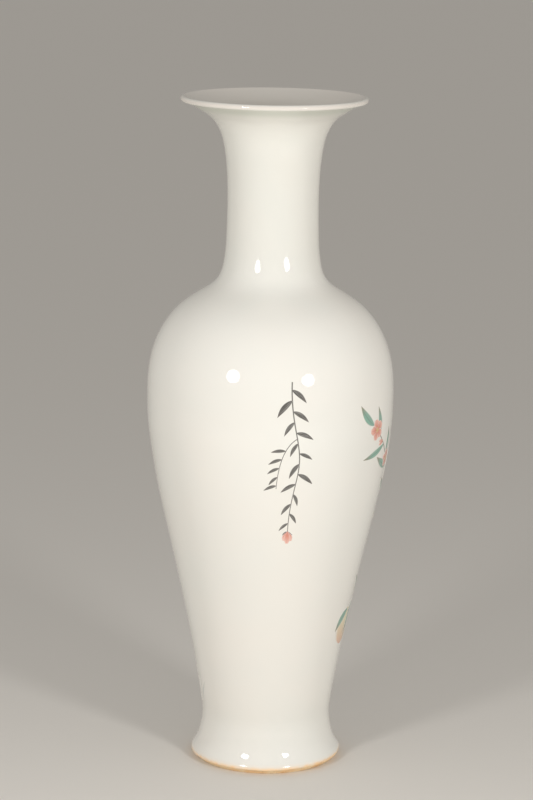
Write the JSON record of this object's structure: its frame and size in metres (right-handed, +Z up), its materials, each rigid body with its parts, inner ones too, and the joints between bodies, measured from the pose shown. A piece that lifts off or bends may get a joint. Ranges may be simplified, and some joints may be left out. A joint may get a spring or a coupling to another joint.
{
  "type": "vase",
  "caption": "Tall white-glazed porcelain baluster vase with swelling shoulders, a narrow waisted neck, a wide trumpet mouth and a flared foot.",
  "frame": {"origin": "centre of the foot ring's contact plane, on the wheel's axis", "axes": "+Z up along the wheel's axis towards the mouth; +X right and +Y back as pictured"},
  "size_m": [0.1648, 0.1649, 0.45],
  "materials": {
    "biscuit": "unglazed fired porcelain, fine and dry, flashed orange-tan at the foot ring",
    "slip": "fired porcelain slip between the sections, matt",
    "glaze": "glossy cream-white glaze, faintly cool where it pools, with overglaze enamels outside"
  },
  "bodies": {
    "root": {"foot_section": "biscuit", "lower_body_section": "biscuit", "shoulder_section": "biscuit", "neck_section": "biscuit", "base_disc": "biscuit", "foot_seam_slip": "slip", "belly_seam_slip": "slip", "neck_seam_slip": "slip", "base_seam_slip": "slip", "outer_glaze": "glaze", "inner_glaze": "glaze", "base_glaze": "glaze"}
  },
  "joints": []
}
